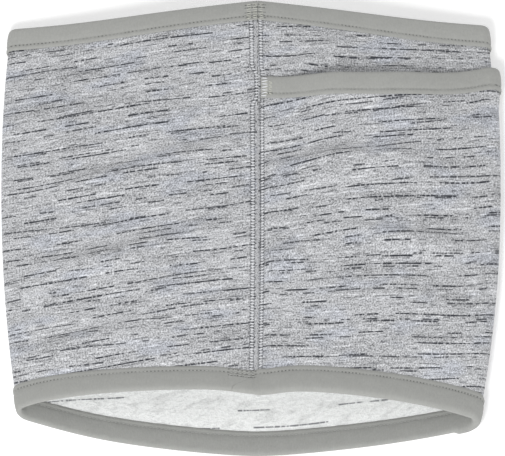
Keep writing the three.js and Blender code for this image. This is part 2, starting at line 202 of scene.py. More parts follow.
def half_section(right, down):
    """Half of the cross-section, seam to fold to back, as x outwards and height."""
    radius = FOLD_RADIUS + MOUTH_RADIUS_GAIN * down
    centre_x = half_width(down, right) + (-SEAM_SHIFT if right else SEAM_SHIFT) - radius
    rise = (RIGHT_MOUTH_RISE if right else LEFT_MOUTH_RISE) * down ** 2
    centre_z = (RIGHT_FOLD_HEIGHT if right else LEFT_FOLD_HEIGHT) + rise
    back = back_height(down)
    mouth_slope = RIGHT_MOUTH_SLOPE if right else LEFT_MOUTH_SLOPE
    front_slope = math.radians(mix(FRONT_SLOPE, mouth_slope, down ** 2))
    back_slope = math.atan2(2 * (centre_z - radius - back), centre_x - BACK_FLAT)
    seam_slope = math.radians(mix(SEAM_SLOPE, 0, down))
    front_x = centre_x + radius * math.sin(front_slope)
    front_z = centre_z + radius * math.cos(front_slope)
    back_x = centre_x + radius * math.sin(back_slope)
    back_z = centre_z - radius * math.cos(back_slope)
    seam_pull = centre_x * mix(0.35, 0.36 if right else 0.5, down)
    fold_pull = centre_x * mix(0.35, 0.3 if right else 0.22, down)
    back_pull = (centre_x - BACK_FLAT) * 0.45
    crown = crown_height(down)
    front = bezier([
        (0, crown),
        (seam_pull * math.cos(seam_slope), crown - seam_pull * math.sin(seam_slope)),
        (front_x - fold_pull * math.cos(front_slope), front_z + fold_pull * math.sin(front_slope)),
        (front_x, front_z),
    ], 300)
    angles = np.linspace(math.pi / 2 - front_slope, back_slope - math.pi / 2, 60)
    bend = np.stack([centre_x + radius * np.cos(angles), centre_z + radius * np.sin(angles)], 1)
    under = bezier([
        (back_x, back_z),
        (back_x - back_pull * math.cos(back_slope), back_z - back_pull * math.sin(back_slope)),
        (BACK_FLAT + back_pull, back),
        (BACK_FLAT, back),
    ], 150)
    return np.concatenate([front, bend[1:], under[1:], [[0, back]]])


def along_line(points, shares):
    """Points at these shares of a line's length."""
    steps = np.linalg.norm(np.diff(points, axis=0), axis=1)
    travelled = np.concatenate([[0], np.cumsum(steps)])
    return np.stack([np.interp(shares * travelled[-1], travelled, points[:, i]) for i in (0, 1)], 1)


class Cloth:
    """The tube's middle surface, looked up by share round and share down."""

    def __init__(self):
        self.sides = np.linspace(-1, 1, 1401)
        self.downs = np.linspace(-0.03, 1.03, 361)
        places = np.array([self.row(down) for down in self.downs])
        wrapped = np.concatenate([places[:, -2:-1], places, places[:, 1:2]], 1)
        across = wrapped[:, 2:] - wrapped[:, :-2]
        along = np.gradient(places, axis=0)
        outward = np.cross(along, across)
        self.outwards = outward / np.linalg.norm(outward, axis=2, keepdims=True)
        self.places = places

    def row(self, down):
        inside = min(max(down, 0), 1)
        flats = {right: half_section(right, inside) for right in (False, True)}
        left = along_line(flats[False], -self.sides[self.sides < 0]) * (-1, 1)
        right = along_line(flats[True], self.sides[self.sides >= 0])
        flat = np.concatenate([left, right])
        y = mix(top_edge(self.sides), bottom_edge(self.sides), down)
        return np.stack([flat[:, 0] + SEAM_X, y + SHIFT_Y, flat[:, 1]], 1)

    def look_up(self, grid, around, down):
        column = (on_side(around) + 1) / 2 * (len(self.sides) - 1)
        row = (down - self.downs[0]) / (self.downs[-1] - self.downs[0]) * (len(self.downs) - 1)
        c = np.clip(np.floor(column).astype(int), 0, len(self.sides) - 2)
        r = np.clip(np.floor(row).astype(int), 0, len(self.downs) - 2)
        fc, fr = (column - c)[..., None], (row - r)[..., None]
        upper = grid[r, c] * (1 - fc) + grid[r, c + 1] * fc
        lower = grid[r + 1, c] * (1 - fc) + grid[r + 1, c + 1] * fc
        return upper * (1 - fr) + lower * fr

    def outward(self, around, down):
        return self.look_up(self.outwards, around, down)

    def point(self, around, down, out):
        """Places in metres, out millimetres outwards of the middle surface."""
        around, down, out = np.broadcast_arrays(
            *(np.asarray(value, float) for value in (around, down, out))
        )
        return (self.look_up(self.places, around, down) + self.outward(around, down) * out[..., None]) * MM


cloth = Cloth()


def mouth_station(around):
    """Where the pocket's mouth edge crosses, as a share down."""
    share = np.clip(on_side(around) * 2, 0, 1)
    return mix(POCKET_DEPTH_FRONT, POCKET_DEPTH_SIDE, share ** 1.8) / length_at(around)


def pocket_middle(around, down):
    """How far the pocket layer's middle stands outside the body's."""
    mouth = mouth_station(around)
    below = np.clip((down - mouth) / (0.93 - mouth), 0, 1)
    front = ease(0.03, 0.17, around) * (1 - ease(0.27, 0.46, around))
    side = ease(0.03, 0.2, around) * (1 - ease(0.54, POCKET_END - 0.02, around))
    tape_lift = (TAPE + GAP) * (1 - ease(1, 12, (down - mouth) * length_at(around) - TAPE_WIDTH))
    gape = POCKET_GAPE * front * (1 - below) ** 1.25 + POCKET_SIDE_GAPE * side * (1 - below ** 4)
    return KNIT + GAP + tape_lift + gape


# ---- Soft creases ------------------------------------------------------------------------------------
CREASE_LEE = 2.2                 # how many times wider the lower flank is than the steep upper one
CREASE_BEND = 1.5                # how far a crease's middle bows off its straight line

# Each is a line on the cloth from (mm round from the seam, mm down) to another, the width of its steep
# upper flank and its height, in millimetres.
BODY_CREASES = [
    ((-116, 106), (-4, 80), 6, 3.6),
    ((-120, 68), (-40, 46), 11, 1.4),
    ((-122, 156), (-20, 134), 6, 3.6),
    ((-118, 200), (-50, 188), 5, 3.2),
    ((-60, 172), (-4, 160), 7, 1.4),
    ((4, 45), (44, 20), 3.4, 3.6),
    ((14, 49), (66, 33), 3.8, -2.4),
    ((40, 40), (120, 22), 5, 1.6),
    ((8, 24), (60, 15), 4, 1.0),
]
POCKET_CREASES = [
    ((-6, 100), (100, 84), 5.5, 5.2),
    ((-6, 150), (34, 146), 4, 2.6),
    ((14, 134), (125, 133), 4.6, 3.6),
    ((10, 116), (70, 110), 7, 1.3),
    ((30, 168), (128, 172), 9, 1.4),
    ((50, 200), (122, 196), 8, 1.3),
    ((70, 62), (130, 48), 7, 1.1),
]


def crease_height(creases, round_mm, down_mm):
    total = np.zeros(np.broadcast(round_mm, down_mm).shape)
    for (x0, y0), (x1, y1), width, height in creases:
        length = math.hypot(x1 - x0, y1 - y0)
        dx, dy = (x1 - x0) / length, (y1 - y0) / length
        reach = (round_mm - x0) * dx + (down_mm - y0) * dy
        aside = (down_mm - y0) * dx - (round_mm - x0) * dy
        bend = CREASE_BEND * np.sin(reach / length * math.pi)
        taper = np.clip(np.sin(np.clip(reach / length, 0, 1) * math.pi), 0, 1) ** 0.8
        from_ridge = aside - bend
        flank = np.where(from_ridge < 0, width, CREASE_LEE * width)
        total += height * taper * np.exp(-((from_ridge / flank) ** 2))
    return total


def seam_pucker(round_mm, down_mm):
    """The cloth draws down along the two sewn strips of the seam, and swells beside them."""
    strip = np.exp(-(((np.abs(round_mm) - 2.4) / 1.1) ** 2))
    beside = np.exp(-(((np.abs(round_mm) - 7) / 3.5) ** 2))
    wave = np.sin(down_mm * 0.55) + 0.7 * np.sin(down_mm * 0.23 + 1) + 0.5 * np.sin(down_mm * 1.1 + 2)
    return 0.12 * beside * wave - 0.18 * strip


def body_relief(around, down):
    round_mm = on_side(np.asarray(around)) * HALF_GIRTH
    down_mm = down * SIDE_LENGTH
    inside = ease(0, 10, down_mm - TAPE_WIDTH) * ease(0, 10, (1 - down) * SIDE_LENGTH - TAPE_WIDTH)
    front = 1 - ease(0.44, 0.5, np.abs(on_side(around)))
    creases = crease_height(BODY_CREASES, round_mm, down_mm) * inside * front
    return creases + seam_pucker(round_mm, down_mm)


def pocket_relief(around, down):
    round_mm = around * HALF_GIRTH
    down_mm = down * SIDE_LENGTH
    below = (down - mouth_station(around)) * SIDE_LENGTH - TAPE_WIDTH
    inside = ease(0, 14, below) * ease(0, 10, (1 - down) * SIDE_LENGTH - TAPE_WIDTH)
    front = ease(0.005, 0.03, around) * (1 - ease(0.44, 0.5, around))
    creases = crease_height(POCKET_CREASES, round_mm, down_mm) * inside * front
    return creases + seam_pucker(round_mm, down_mm)


# ---- Making pieces -------------------------------------------------------------------------------------
def deselect():
    bpy.ops.object.select_all(action="DESELECT")


def finish_piece(piece, name, material, replaced=()):
    piece.name = name
    piece.data.name = name
    piece.data.materials.clear()
    piece.data.materials.append(material)
    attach(piece, "root")
    if replaced:
        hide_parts(*replaced)
    return piece


def apply_modifier(piece, kind, **settings):
    modifier = piece.modifiers.new(kind.lower(), kind)
    for key, value in settings.items():
        setattr(modifier, key, value)
    deselect()
    piece.select_set(True)
    bpy.context.view_layer.objects.active = piece
    bpy.ops.object.modifier_apply(modifier=modifier.name)


def shade_smooth(piece, angle=40):
    deselect()
    piece.select_set(True)
    bpy.context.view_layer.objects.active = piece
    bpy.ops.object.shade_smooth_by_angle(angle=math.radians(angle))


def draped_grid(columns, rows, place, grain):
    """A grid whose corners are put on the cloth; its UV map holds where each corner lies on the knit."""
    deselect()
    bpy.ops.mesh.primitive_grid_add(x_subdivisions=columns, y_subdivisions=rows, size=1, calc_uvs=True)
    piece = bpy.context.object
    corners = np.zeros(len(piece.data.vertices) * 3)
    piece.data.vertices.foreach_get("co", corners)
    across, up = corners.reshape(-1, 3)[:, 0] + 0.5, corners.reshape(-1, 3)[:, 1] + 0.5
    piece.data.vertices.foreach_set("co", place(across, up).ravel())
    on_cloth = grain(across, up)
    loops = np.zeros(len(piece.data.loops), int)
    piece.data.loops.foreach_get("vertex_index", loops)
    piece.data.uv_layers[0].data.foreach_set("uv", on_cloth[loops].ravel())
    piece.data.update()
    return piece


UV_SPAN = 600                    # millimetres of cloth across the whole UV map


def as_uv(first, second):
    return np.stack([first / UV_SPAN + 0.5, second / UV_SPAN + 0.5], 1)


def course_place(places, slant):
    """Height on the cloth that the knitted courses follow, less their slant."""
    y, z = places[:, 1] / MM, places[:, 2] / MM
    return y * math.sin(VIEW_ELEVATION) + z * math.cos(VIEW_ELEVATION) - slant


LEFT_SLANT, RIGHT_SLANT = 0.15, -0.01
SLANT_REACH = 135                # about the millimetres of cloth from the seam to a side fold
SLANT_STATIONS = [0, 0.5, 1.5, 2]
SLANT_OFFSETS = [0, RIGHT_SLANT * SLANT_REACH, -LEFT_SLANT * SLANT_REACH, 0]


def seam_wander(down):
    """Where the seam's middle lies: it bows a little, in millimetres."""
    return -1.15 * (2 * down - 1) ** 2


def at_pocket_tape(down):
    """1 where the seam passes the end of the pocket's tape."""
    return ease(0.160, 0.192, down) * (1 - ease(0.238, 0.268, down))


LEFT_JOG, RIGHT_JOG, TAPE_SPREAD = 2.4, 0.7, 1.4


def round_place(around, down):
    """Millimetres from the middle of the back; beside the seam the scale moves with its needle holes."""
    beside = on_side(around) * HALF_GIRTH
    jog = at_pocket_tape(down) * np.where(beside < 0, LEFT_JOG, RIGHT_JOG)
    held = 1 - ease(6, 16, np.abs(beside))
    return around * HALF_GIRTH - HALF_GIRTH - (seam_wander(down) + jog) * held


def body_grain(around, down):
    places = cloth.point(around, down, 0)
    slant = np.interp(around, SLANT_STATIONS, SLANT_OFFSETS)
    return as_uv(round_place(around, down), course_place(places, slant))


def pocket_grain(around, down):
    places = cloth.point(around, down, 0)
    slope = mix(0.12, 0.01, ease(0.2, 0.9, down))
    return as_uv(round_place(around, down), course_place(places, slope * around * HALF_GIRTH))


def columns_round(near, far):
    """Stations round the tube, closer together beside the front seam."""
    beside = 9
    first = np.arange(0.2, beside, near)
    rest = np.linspace(beside, 2 * HALF_GIRTH - beside, round((2 * HALF_GIRTH - 2 * beside) / far))
    return np.concatenate([first, rest, 2 * HALF_GIRTH - first[::-1]]) / HALF_GIRTH


BODY_COLUMNS = columns_round(0.6, 2.0)
COARSE_COLUMNS = columns_round(1.2, 2.6)


def body_layer(out, stations, rows):
    shares = np.linspace(0, 1, len(stations))

    def place(across, up):
        around, down = np.interp(across, shares, stations), 1 - up
        return cloth.point(around, down, out + body_relief(around, down))

    def grain(across, up):
        return body_grain(np.interp(across, shares, stations), 1 - up)

    return draped_grid(len(stations) - 1, rows, place, grain)


POCKET_PRESS, PRESS_REACH = 1.2, 7               # how far it is pressed, and up to where beside the seam


def pocket_rest(around, down):
    """The pocket layer's middle, pressed down where the seam holds its front edge."""
    pressed = 1 - ease(POCKET_EDGE, PRESS_REACH, around * HALF_GIRTH)
    return pocket_middle(around, down) - POCKET_PRESS * pressed


def pocket_layer(out, start, columns, rows):
    def stations(across, up):
        around = mix(start, POCKET_END, across)
        return around, mix(mouth_station(around), 1, 1 - up)

    def place(across, up):
        around, down = stations(across, up)
        return cloth.point(around, down, pocket_rest(around, down) + out + pocket_relief(around, down))

    return draped_grid(columns, rows, place, lambda across, up: pocket_grain(*stations(across, up)))


def pocket_layer_at(around):
    side = on_side(around)
    margin = 0.4 / HALF_GIRTH
    ramp = 4 / HALF_GIRTH
    front = ease(POCKET_START - ramp, POCKET_START - margin, side)
    return (KNIT + GAP) * front * (1 - ease(POCKET_END + margin, POCKET_END + ramp, side))


TAPE_REST = KNIT / 2 + 0.15 + TAPE / 2          # middle of the tape outside the cloth's middle
STITCH_PITCH = 2.0
TAPE_ROWS = 34
TAPE_PUFF, TAPE_LIP, TAPE_END_TURN, TAPE_RIPPLE = 0.38, 0.22, 0.25, 0.10
ROW_PULL, NEEDLE_PULL, PULL_REACH = 0.16, 0.2, 0.75


def tape_profile(path, round_mm, outer, inner):
    """Distance in from the edge and place through the cloth, at a distance along the folded tape.

    The path runs from the end of the outer leg. The tape lies puffed between the edge and its
    stitches, is drawn down at them, and its end turns down."""
    fold_radius = (outer + inner) / 2
    bend = math.pi * fold_radius
    on_outer = path < TAPE_WIDTH
    on_inner = path > TAPE_WIDTH + bend
    inwards = np.where(on_outer, TAPE_WIDTH - path, np.where(on_inner, path - TAPE_WIDTH - bend, 0))
    angle = np.clip((path - TAPE_WIDTH) / bend, 0, 1) * math.pi
    side = np.cos(angle)
    in_place = np.where(on_outer | on_inner, inwards, -fold_radius * np.sin(angle))
    pull = np.exp(-(((inwards - STITCH_INSET) / PULL_REACH) ** 2))
    needle = 0.5 + 0.5 * np.cos(round_mm / STITCH_PITCH * 2 * math.pi)
    puff = TAPE_PUFF * np.sin(np.clip(inwards / STITCH_INSET, 0, 1) * math.pi) ** 0.7
    past_stitches = np.clip((inwards - STITCH_INSET) / (TAPE_WIDTH - STITCH_INSET), 0, 1)
    lip = TAPE_LIP * np.sin(past_stitches * math.pi)
    turned = -TAPE_END_TURN * ease(TAPE_WIDTH - 0.7, TAPE_WIDTH, inwards)
    ripple = TAPE_RIPPLE * np.sin(round_mm * 0.71) * np.sin(round_mm * 0.13 + 1)
    relief = puff + lip + turned + ripple - pull * (ROW_PULL + NEEDLE_PULL * needle)
    through = (outer - inner) / 2 + side * (fold_radius + relief * (inwards > 0))
    return in_place, through


def folded_tape(columns, stations, edge, direction, middle=None, outer=None, slant=0):
    """Tape folded over an edge. direction is 1 at a top edge and -1 at a bottom edge.

    slant is how far the tape's ends lean sideways from the end of the outer leg to the fold."""
    def at(across, up):
        share = up if direction > 0 else 1 - up
        around = mix(stations[0], stations[1], across)
        near_end = np.minimum(across, 1 - across) * (stations[1] - stations[0]) * HALF_GIRTH
        leaning = slant * (1 - ease(4, 30, near_end)) / HALF_GIRTH
        around = around + leaning * (ease(0.1, 0.46, share) - 0.5)
        outer_rest = TAPE_REST + (0 if outer is None else outer(around))
        bend = math.pi * (outer_rest + TAPE_REST) / 2
        path = share * (2 * TAPE_WIDTH + bend)
        inwards, through = tape_profile(path, around * HALF_GIRTH, outer_rest, TAPE_REST)
        down = edge(around) + direction * inwards / length_at(around)
        return around, down, through, path - TAPE_WIDTH - bend / 2, bend

    def place(across, up):
        around, down, through, _, _ = at(across, up)
        return cloth.point(around, down, through + (0 if middle is None else middle(around, down)))

    def grain(across, up):
        around, _, _, from_fold, bend = at(across, up)
        legs = np.abs(from_fold) - bend / 2
        across_tape = np.where(legs > 0, legs + 2, np.abs(from_fold) / bend * 4)
        return as_uv(around * HALF_GIRTH - HALF_GIRTH, across_tape * np.sign(from_fold))

    return draped_grid(columns, TAPE_ROWS, place, grain)


# ---- Finishes ------------------------------------------------------------------------------------------
class Value:
    """A shader socket that takes ordinary arithmetic."""

    def __init__(self, graph, socket):
        self.graph = graph
        self.socket = socket

    def math(self, operation, *others, swap=False):
        terms = [self, *others]
        if swap:
            terms.reverse()
        return self.graph.node("ShaderNodeMath", {"operation": operation}, dict(enumerate(terms)))

    def __add__(self, other):
        return self.math("ADD", other)

    def __radd__(self, other):
        return self.math("ADD", other, swap=True)

    def __sub__(self, other):
        return self.math("SUBTRACT", other)

    def __rsub__(self, other):
        return self.math("SUBTRACT", other, swap=True)

    def __mul__(self, other):
        return self.math("MULTIPLY", other)

    def __rmul__(self, other):
        return self.math("MULTIPLY", other, swap=True)

    def __truediv__(self, other):
        return self.math("DIVIDE", other)

    def __rtruediv__(self, other):
        return self.math("DIVIDE", other, swap=True)

    def __pow__(self, other):
        return self.math("POWER", other)

    def __neg__(self):
        return self * -1

    def __abs__(self):
        return self.math("ABSOLUTE")

    def floor(self):
        return self.math("FLOOR")

    def fraction(self):
        return self.math("FRACT")

    def cosine(self):
        return self.math("COSINE")

    def bell(self, half_width):
        """1 at zero, falling off smoothly beyond half_width."""
        share = self / half_width
        return self.graph.number(math.e) ** -(share * share)

    def ramp(self, low, high):
        """0 at low and 1 at high, eased at both ends."""
        return self.graph.node(
            "ShaderNodeMapRange", {"interpolation_type": "SMOOTHSTEP"},
            {"Value": self, "From Min": low, "From Max": high},
        )

    def clamp(self):
        return self.math("MINIMUM", 1).math("MAXIMUM", 0)


class Graph:
    """The node tree of one material."""

    def __init__(self, name):
        self.material = bpy.data.materials.new(name)
        self.material.use_nodes = True
        self.tree = self.material.node_tree
        self.shader = self.tree.nodes["Principled BSDF"]

    def node(self, kind, settings=None, inputs=None, output=0):
        node = self.tree.nodes.new(kind)
        for key, value in (settings or {}).items():
            setattr(node, key, value)
        for key, value in (inputs or {}).items():
            self.feed(node.inputs[key], value)
        return Value(self, node.outputs[output])

    def feed(self, socket, value):
        if isinstance(value, Value):
            self.tree.links.new(value.socket, socket)
        else:
            socket.default_value = value

    def number(self, value):
        node = self.node("ShaderNodeValue")
        node.socket.default_value = value
        return node

    def cloth_place(self):
        """Millimetres round and along the cloth, from the piece's own UV map."""
        place = self.node("ShaderNodeUVMap")
        split = self.tree.nodes.new("ShaderNodeSeparateXYZ")
        self.feed(split.inputs[0], place)
        return tuple((Value(self, split.outputs[i]) - 0.5) * UV_SPAN for i in (0, 1))

    def noise(self, x, y, detail=0.0, roughness=0.5):
        """Smooth noise about 0.5, one unit of x or y to a patch."""
        place = self.node("ShaderNodeCombineXYZ", inputs={0: x, 1: y})
        return self.node(
            "ShaderNodeTexNoise", {"noise_dimensions": "2D"},
            {"Vector": place, "Scale": 1.0, "Detail": detail, "Roughness": roughness},
        )

    def chance(self, number):
        """A different number from 0 to 1 for each whole number."""
        return self.node("ShaderNodeTexWhiteNoise", {"noise_dimensions": "1D"}, {"W": number + 0.5})

    def blend(self, share, first, second):
        node = self.tree.nodes.new("ShaderNodeMix")
        node.data_type = "RGBA"
        for key, value in ((0, share), (6, first), (7, second)):
            self.feed(node.inputs[key], value)
        return Value(self, node.outputs[2])

    def tint(self, colour, amount):
        """A colour made lighter or darker by an amount."""
        return self.node("ShaderNodeVectorMath", {"operation": "SCALE"}, {0: colour, "Scale": amount})

    def bump(self, height, distance, strength=1.0):
        return self.node(
            "ShaderNodeBump", inputs={"Height": height, "Distance": distance, "Strength": strength}
        )

    def finish(self, roughness, colour, normal, sheen=0.0):
        self.feed(self.shader.inputs["Base Color"], colour)
        self.feed(self.shader.inputs["Roughness"], roughness)
        self.feed(self.shader.inputs["Normal"], normal)
        self.feed(self.shader.inputs["Specular IOR Level"], 0.25)
        self.feed(self.shader.inputs["Sheen Weight"], sheen)
        self.feed(self.shader.inputs["Sheen Roughness"], 0.6)
        return self.material


SEAM_HOLES = (1.5, 3.3)          # distances from the seam's middle of the needle holes
RUNG_PITCH = 1.7


def slubs(graph, around, course, pitch, reach, share, seed, thickness):
    """Broken dashes of thick yarn along rows of the knit, in millimetres: rows a pitch apart, dashes
    about as long as reach over a share of each row."""
    wander = (graph.noise(around / 60, course / 40 + seed) - 0.5) * 3.5
    rows = (course + wander) / pitch
    row = rows.floor()
    middle = 0.5 + (graph.chance(row + seed) - 0.5) * 0.6
    aside = (rows.fraction() - middle) * pitch
    seedling = row * 7.31 + seed
    present = graph.noise(around / reach, seedling).ramp(1 - share, 1 - share + 0.035)
    dots = graph.noise(around / 1.7, seedling * 3.7, 1.0).ramp(0.33, 0.5)
    width = thickness * (0.5 + 1.0 * graph.noise(around / 6, seedling * 1.9))
    return abs(aside / width).ramp(1.5, 0.7) * present * (0.3 + 0.7 * dots)


def melange_knit():
    graph = Graph("melange_knit")
    around, course = graph.cloth_place()
    long_dashes = slubs(graph, around, course, pitch=5.6, reach=20, share=0.52, seed=11, thickness=0.33)
    dashes = slubs(graph, around, course, pitch=8.7, reach=11, share=0.49, seed=47, thickness=0.34)
    flecks = slubs(graph, around, course, pitch=3.3, reach=6, share=0.44, seed=83, thickness=0.28)
    dark = long_dashes.math("MAXIMUM", dashes * 0.9).math("MAXIMUM", flecks * 0.55)
    light = slubs(graph, around, course, pitch=4.3, reach=10, share=0.47, seed=131, thickness=0.34)
    loops = graph.noise(around / 0.85, course / 0.75, 1.0, 0.6) - 0.5
    fibres = graph.noise(around / 6.0, course / 0.8, 2.0, 0.6) - 0.5
    bands = graph.noise(around / 46, course / 9, 1.0) - 0.5
    blue = graph.noise(around / 30 + 40, course / 11, 1.0).ramp(0.5, 0.75)
    off_seam = HALF_GIRTH - abs(around)
    holes = sum((off_seam - reach).bell(0.42) for reach in SEAM_HOLES)
    beat = (course * (2 * math.pi / RUNG_PITCH)).cosine()
    holes = holes * (0.75 + 0.25 * beat) * off_seam.ramp(8, 6)
    strip = (off_seam - 2.4).bell(1.2)
    tone = 1.02 + 2.1 * loops + 1.1 * fibres + 0.5 * bands + 0.4 * light - 0.12 * strip
    ground = graph.blend(blue * 0.6, (0.452, 0.458, 0.472, 1), (0.395, 0.415, 0.465, 1))
    shade = graph.tint(ground, tone.math("MAXIMUM", 0.15))
    colour = graph.blend(dark.clamp() * 0.97, shade, (0.020, 0.023, 0.032, 1))
    colour = graph.blend(holes.clamp() * 0.9, colour, (0.045, 0.048, 0.058, 1))
    height = loops * 0.7 + fibres * 0.5 - dark * 0.2 - holes * 0.8
    return graph.finish(0.92, colour, graph.bump(height, 0.0003, 0.55), sheen=0.12)


def brushed_fleece():
    graph = Graph("brushed_fleece")
    around, course = graph.cloth_place()
    tufts = graph.noise(around / 2.6, course / 1.8, 3.0, 0.6) - 0.5
    pile = graph.noise(around / 0.9, course / 0.9, 1.0, 0.6) - 0.5
    streaks = graph.noise(around / 11, course / 4.2 + 0.05 * around, 2.0, 0.6).ramp(0.48, 0.72)
    dark = slubs(graph, around, course, pitch=10.6, reach=22, share=0.48, seed=5, thickness=0.34)
    tone = 0.97 + 0.3 * tufts + 0.22 * pile - 0.15 * streaks
    shade = graph.tint((0.92, 0.93, 0.925), tone)
    colour = graph.blend(dark.clamp() * 0.85, shade, (0.11, 0.115, 0.13, 1))
    height = tufts + pile * 0.5
    return graph.finish(0.96, colour, graph.bump(height, 0.0006, 0.7), sheen=0.3)


def binding_tape(name, depth=1.0, hole_rows=(), middle=0.0, half_span=0.0):
    """Jersey tape, its colour scaled by depth, a painted shade factor that makes darker, shaded copies of
    the one tape. hole_rows are more lines of needle holes, at these distances in from the edge, over
    half_span to each side of a middle."""
    graph = Graph(name)
    around, across = graph.cloth_place()
    ribs = graph.noise(around / 0.6, across / 3.0, 1.0, 0.6) - 0.5
    cloud = graph.noise(around / 9, across / 4, 2.0) - 0.5
    fibres = graph.noise(around / 1.3, across / 1.1, 2.0, 0.7) - 0.5
    inwards = abs(across) - 2
    beat = 0.5 + 0.5 * (around * (2 * math.pi / STITCH_PITCH)).cosine()
    patchy = graph.noise(around / 7, across / 30).ramp(0.3, 0.65)
    holes = (inwards - STITCH_INSET).bell(0.42) * (0.15 + 0.85 * beat) * (0.35 + 0.65 * patchy)
    if hole_rows:
        from_seam = HALF_GIRTH - abs(around - middle)
        spots = graph.noise(around / 0.7, across / 3).ramp(0.42, 0.6)
        rows = sum((inwards - row).bell(0.36) for row in hole_rows)
        rows = rows * (0.3 + 0.9 * spots) * from_seam.ramp(half_span + 0.6, half_span - 0.6)
        holes = holes.math("MAXIMUM", rows)
    tone = 1 + 0.12 * ribs + 0.10 * cloud + 0.16 * fibres
    # depth darkens the tape's colour as painted shade.
    shade = graph.tint((0.373, 0.377, 0.360), tone * depth)
    colour = graph.blend(holes.clamp() * 0.85, shade, (0.045, 0.047, 0.044, 1))
    height = ribs * 0.6 + fibres * 0.35 - holes
    return graph.finish(0.78, colour, graph.bump(height, 0.0002, 0.6), sheen=0.1)


def sewing_thread(name, colour):
    graph = Graph(name)
    place = graph.node("ShaderNodeTexCoord", output=3)
    grain = graph.node(
        "ShaderNodeTexNoise", None, {"Vector": place, "Scale": 1600.0, "Detail": 1.0}
    )
    tone = 1 + 0.35 * (grain - 0.5)
    return graph.finish(0.6, graph.tint(colour, tone), graph.bump(grain, 0.00012, 0.5), sheen=0.05)


knit_finish = melange_knit()
fleece_finish = brushed_fleece()
# The pocket's tape (0.96) and the bottom tape (0.84) are the same tape as the top one, painted darker as
# painted shade.
tape_finish = binding_tape("binding_tape", 0.96)
top_tape_finish = binding_tape("binding_tape_top", 1.0, (2.2, 4.2, 7.3, 9.0, 10.8), seam_wander(0), 5.4)
bottom_tape_finish = binding_tape("binding_tape_bottom", 0.84, (7.3, 9.3, 11.1), -8.0, 7.4)
seam_finish = sewing_thread("seam_thread", (0.70, 0.71, 0.73))
cover_finish = sewing_thread("cover_thread", (0.50, 0.505, 0.52))
tape_thread_finish = sewing_thread("tape_thread", (0.36, 0.365, 0.35))
olive_thread_finish = sewing_thread("olive_thread", (0.52, 0.525, 0.475))


# ---- Panels --------------------------------------------------------------------------------------------
LAYER = 0.68                     # thickness of the knit face, and of the brushed face
LAYER_MIDDLE = 0.35              # from the cloth's middle to a layer's middle
FLEECE_START = 6.5 / HALF_GIRTH  # the pocket's brushed face begins past the seam's stitches


def thickened(piece, thickness, name, material, replaced=()):
    apply_modifier(piece, "SOLIDIFY", thickness=thickness * MM, offset=0.0, use_even_offset=False)
    shade_smooth(piece)
    return finish_piece(piece, name, material, replaced)


body_knit = thickened(
    body_layer(LAYER_MIDDLE, BODY_COLUMNS, rows=140), LAYER,
    "body_knit_face", knit_finish, ["body_panel"],
)
body_fleece = thickened(
    body_layer(-LAYER_MIDDLE, COARSE_COLUMNS, rows=100), LAYER,
    "body_brushed_face", fleece_finish,
)
pocket_knit = thickened(
    pocket_layer(LAYER_MIDDLE, POCKET_START, columns=130, rows=150), LAYER,
    "pocket_knit_face", knit_finish, ["pocket_panel"],
)
pocket_fleece = thickened(
    pocket_layer(-LAYER_MIDDLE, FLEECE_START, columns=90, rows=100), LAYER,
    "pocket_brushed_face", fleece_finish,
)


# ---- Bound edges ---------------------------------------------------------------------------------------
JOIN_AT = -8 / HALF_GIRTH        # where the bottom tape's ends meet, left of the seam
BUTT = 0.06 / HALF_GIRTH         # from the middle of a join to each end
JOIN_LEAN = -11                  # sideways lean of those ends, in millimetres
ROUND_COLUMNS, POCKET_COLUMNS = 760, 230

top_binding = thickened(
    folded_tape(ROUND_COLUMNS, (BUTT, 2 - BUTT), lambda around: 0 * around, 1),
    TAPE, "top_binding_tape", top_tape_finish, ["top_binding"],
)
bottom_binding = thickened(
    folded_tape(
        ROUND_COLUMNS, (JOIN_AT + BUTT, 2 + JOIN_AT - BUTT), lambda around: 1 + 0 * around, -1,
        outer=pocket_layer_at, slant=JOIN_LEAN,
    ),
    TAPE, "bottom_binding_tape", bottom_tape_finish, ["bottom_binding"],
)
pocket_binding = thickened(
    folded_tape(POCKET_COLUMNS, (POCKET_START, POCKET_END), mouth_station, 1, middle=pocket_rest),
    TAPE, "pocket_binding_tape", tape_finish, ["pocket_binding"],
)


# ---- Stitches ------------------------------------------------------------------------------------------
# Width and height of each kind of stitch, in millimetres.
TAPE_STITCH = 0.5, 0.42
PLAIN_STITCH = 0.5, 0.4
LADDER_RUNG = 0.85, 0.7
COVER_LOOP = 0.75, 0.5
TACK_STITCH = 0.7, 0.5


def model_stitch():
    """A short lens-shaped loop of thread, one unit long, lying along X."""
    deselect()
    bpy.ops.mesh.primitive_uv_sphere_add(segments=8, ring_count=5, radius=0.5)
    stitch = bpy.context.object
    bpy.ops.object.mode_set(mode="EDIT")
    bpy.ops.mesh.select_all(action="SELECT")
    bpy.ops.transform.rotate(value=math.pi / 2, orient_axis="Y", center_override=(0, 0, 0))
    bpy.ops.object.mode_set(mode="OBJECT")
    for polygon in stitch.data.polygons:
        polygon.use_smooth = True
    return stitch


stitch_pattern = model_stitch()


def sew(name, starts, ends, outwards, width, height, material, slot, replaced=()):
    """Stitches laid from each start to each end, as one run of thread."""
    copies = []
    for start, end, outward in zip(starts, ends, outwards):
        along = Vector(end - start)
        out = Vector(outward).normalized()
        aside = out.cross(along).normalized()
        out = along.cross(aside).normalized()
        frame_of_stitch = Matrix((
            along, aside * width * MM, out * height * MM
        )).transposed().to_4x4()
        frame_of_stitch.translation = Vector((start + end) / 2)
        mesh = stitch_pattern.data.copy()
        mesh.transform(frame_of_stitch)
        stitch = bpy.data.objects.new(name, mesh)
        bpy.context.scene.collection.objects.link(stitch)
        copies.append(stitch)
    deselect()
    for stitch in copies:
        stitch.select_set(True)
    bpy.context.view_layer.objects.active = copies[0]
    bpy.ops.object.join()
    return finish_piece(bpy.context.object, name, material, replaced)


